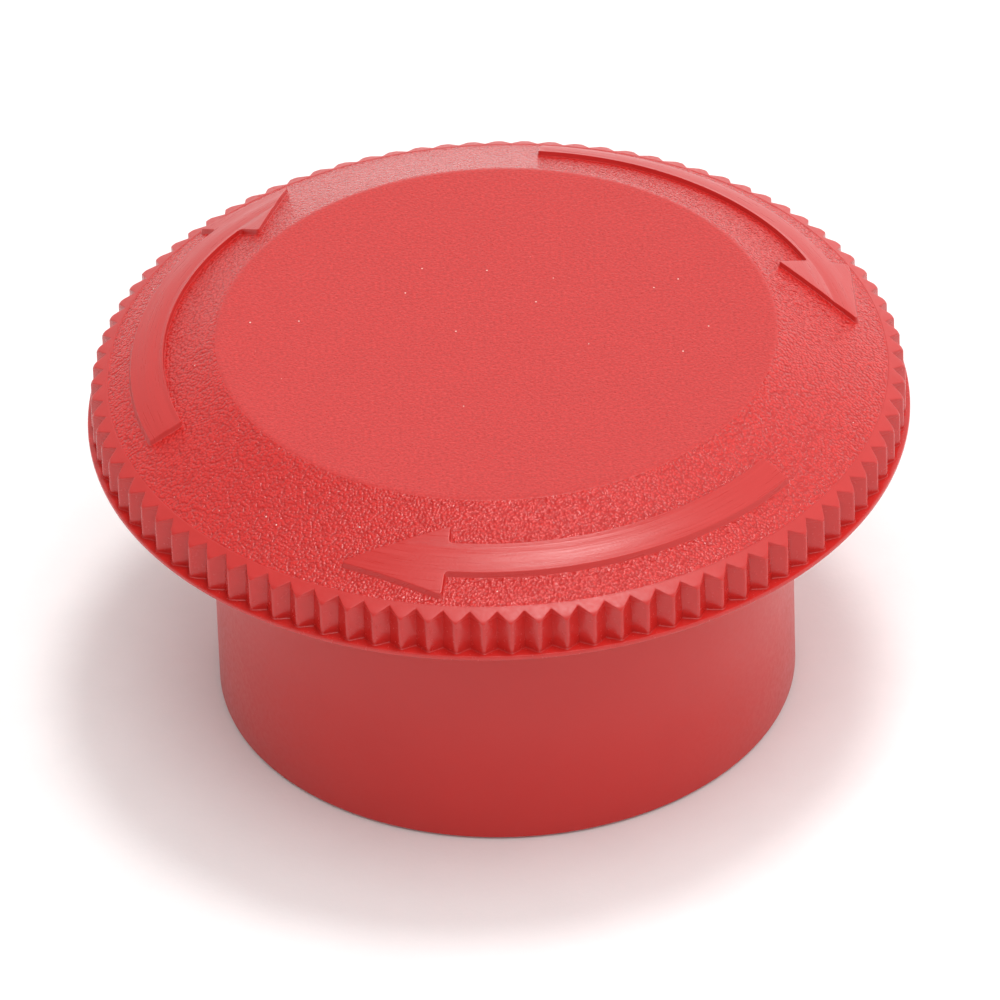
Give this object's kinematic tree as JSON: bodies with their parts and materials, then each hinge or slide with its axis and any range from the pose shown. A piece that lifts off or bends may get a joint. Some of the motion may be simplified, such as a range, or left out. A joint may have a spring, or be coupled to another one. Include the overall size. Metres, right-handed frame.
{
  "type": "emergency stop button head",
  "caption": "Red mushroom emergency stop head with a knurled grip ring, raised clockwise arrows and a plain skirt, pushed in and latched; twists clockwise to release and rise.",
  "frame": {"origin": "on the pressing axis, in the plane of the panel's front face, which is the underside of the gasket", "axes": "+Z along the pressing axis, out of the panel; the head of one arrow lies just left of -Y seen from the front, its tail towards +X"},
  "size_m": [0.04, 0.04, 0.0202],
  "materials": {
    "red_cap": "moulded red plastic: spark-eroded grain on top, glossy band and ridges",
    "red_skirt": "satin moulded red plastic",
    "black_nylon": "fine-grained black glass-filled nylon",
    "grey_nylon": "dark grey moulded nylon",
    "acetal": "natural acetal, satin",
    "steel": "turned and tumbled steel, satin",
    "spring_steel": "drawn spring wire, satin",
    "brass": "turned brass",
    "black_rubber": "moulded black rubber"
  },
  "bodies": {
    "base": {"base_barrel": "black_nylon", "threaded_insert": "brass", "latch_ring": "spring_steel", "stop_ring": "steel", "return_spring": "spring_steel", "spring_seat": "steel", "panel_gasket": "black_rubber", "skirt_seal": "black_rubber"},
    "carriage": {"plunger_carriage": "grey_nylon", "plunger_foot": "acetal", "torsion_spring": "spring_steel"},
    "knob": {"mushroom_cap": "red_cap", "skirt_sleeve": "red_skirt", "spindle": "steel", "cam_plate": "acetal", "cam_plate_screws": "steel", "retaining_clip": "steel", "thrust_washer": "steel"},
    "pawl_1": {"latch_pawl_1": "acetal", "cam_pin_1": "steel"},
    "pawl_2": {"latch_pawl_2": "acetal", "cam_pin_2": "steel"},
    "pawl_3": {"latch_pawl_3": "acetal", "cam_pin_3": "steel"}
  },
  "joints": [
    {"name": "head_lift", "type": "slide", "parent": "base", "child": "carriage", "axis": [0, 0, 1], "range_m": [0, 0.004], "deforming": ["return_spring", "latch_ring"]},
    {"name": "knob_twist", "type": "hinge", "parent": "carriage", "child": "knob", "pos_m": [0, 0, 0.0158], "axis": [0, 0, 1], "range_deg": [-45, 0], "stiffness_Nm_per_rad": 0.03, "deforming": ["torsion_spring"]},
    {"name": "pawl_slide_1", "type": "slide", "parent": "carriage", "child": "pawl_1", "axis": [1, 0, 0], "range_m": [-0.0012, 0]},
    {"name": "pawl_slide_2", "type": "slide", "parent": "carriage", "child": "pawl_2", "axis": [-0.5, 0.866, 0], "range_m": [-0.0012, 0]},
    {"name": "pawl_slide_3", "type": "slide", "parent": "carriage", "child": "pawl_3", "axis": [-0.5, -0.866, 0], "range_m": [-0.0012, 0]}
  ],
  "couplings": [
    {"joint": "pawl_slide_1", "follows": "knob_twist", "m_per_rad": 0.001527},
    {"joint": "pawl_slide_2", "follows": "knob_twist", "m_per_rad": 0.001527},
    {"joint": "pawl_slide_3", "follows": "knob_twist", "m_per_rad": 0.001527}
  ]
}
